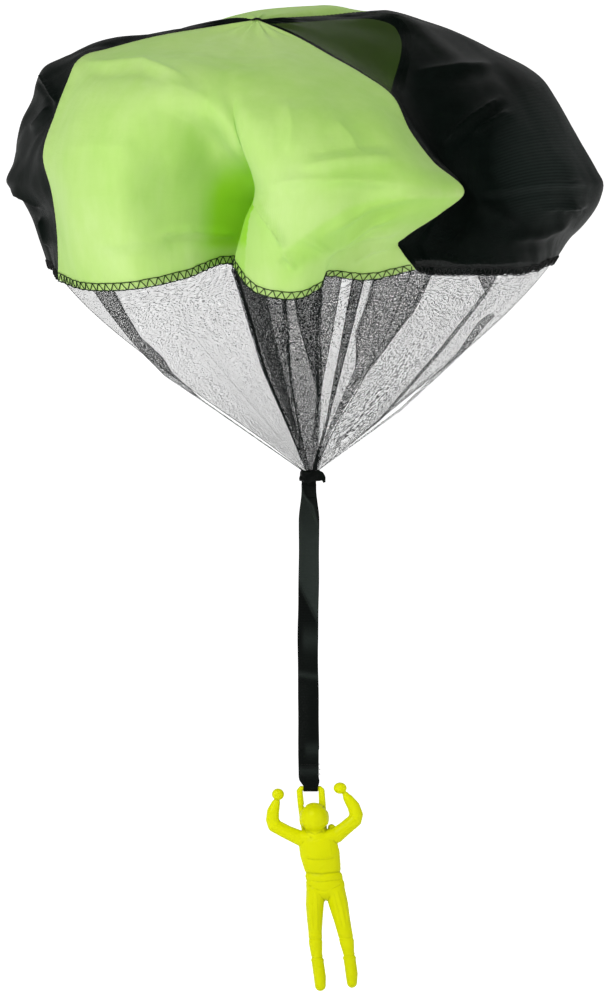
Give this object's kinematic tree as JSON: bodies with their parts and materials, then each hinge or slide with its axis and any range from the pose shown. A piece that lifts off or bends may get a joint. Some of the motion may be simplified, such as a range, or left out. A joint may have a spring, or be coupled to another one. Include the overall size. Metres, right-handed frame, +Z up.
{
  "type": "toy paratrooper",
  "caption": "Hand-thrown toy paratrooper: a small moulded figure hung by a ribbon and a gathered net skirt from an open cloth canopy sewn from gores.",
  "frame": {"origin": "the crown of the open canopy, where the gores meet on top of the crown stitching", "axes": "+Z up through the crown, -Y towards the front of the figure, +X to the right as seen from the front"},
  "size_m": [0.2843, 0.2617, 0.4696],
  "materials": {
    "green_cloth": "satin",
    "black_cloth": "satin",
    "dark_thread": "matte",
    "black_net": "matte",
    "black_ribbon": "satin",
    "yellow_plastic": "satin"
  },
  "bodies": {
    "canopy": {"canopy_gore_front": "green_cloth", "canopy_gore_right": "black_cloth", "canopy_gore_back": "green_cloth", "canopy_gore_left": "black_cloth", "canopy_seam_front_left": "dark_thread", "canopy_seam_front_right": "dark_thread", "canopy_seam_back_right": "dark_thread", "canopy_seam_back_left": "dark_thread", "crown_stitching": "dark_thread", "hem_overlock_front": "dark_thread", "hem_overlock_right": "dark_thread", "hem_overlock_back": "dark_thread", "hem_overlock_left": "dark_thread", "net_panel_front": "black_net", "net_panel_right": "black_net", "net_panel_back": "black_net", "net_panel_left": "black_net", "net_seam_front_left": "dark_thread", "net_seam_front_right": "dark_thread", "net_seam_back_right": "dark_thread", "net_seam_back_left": "dark_thread", "net_gathered_end": "black_net", "ribbon_knot": "black_ribbon", "ribbon_knot_tail": "black_ribbon"},
    "ribbon_neck": {"ribbon_neck": "black_ribbon"},
    "ribbon_upper": {"ribbon_upper": "black_ribbon"},
    "ribbon_middle": {"ribbon_middle": "black_ribbon"},
    "ribbon_lower": {"ribbon_lower_loop": "black_ribbon", "loop_stitching": "dark_thread"},
    "figure": {"paratrooper_figure": "yellow_plastic"}
  },
  "joints": [
    {"name": "ribbon_side_swing", "type": "hinge", "parent": "canopy", "child": "ribbon_neck", "pos_m": [0.02462, 0.005, -0.22535], "axis": [0, 1, 0], "range_deg": [-45, 45]},
    {"name": "ribbon_fore_aft_swing", "type": "hinge", "parent": "ribbon_neck", "child": "ribbon_upper", "pos_m": [0.02462, 0.005, -0.23435], "axis": [1, 0, 0], "range_deg": [-50, 50]},
    {"name": "ribbon_bend", "type": "hinge", "parent": "ribbon_upper", "child": "ribbon_middle", "pos_m": [0.02462, 0.005, -0.2709], "axis": [1, 0, 0], "range_deg": [-40, 40]},
    {"name": "ribbon_twist", "type": "hinge", "parent": "ribbon_middle", "child": "ribbon_lower", "pos_m": [0.02462, 0.005, -0.31392], "axis": [0, 0, 1], "range_deg": [-170, 170]},
    {"name": "figure_swing", "type": "hinge", "parent": "ribbon_lower", "child": "figure", "pos_m": [0.02562, 0.005, -0.36841], "axis": [1, 0, 0], "range_deg": [-80, 80]}
  ]
}
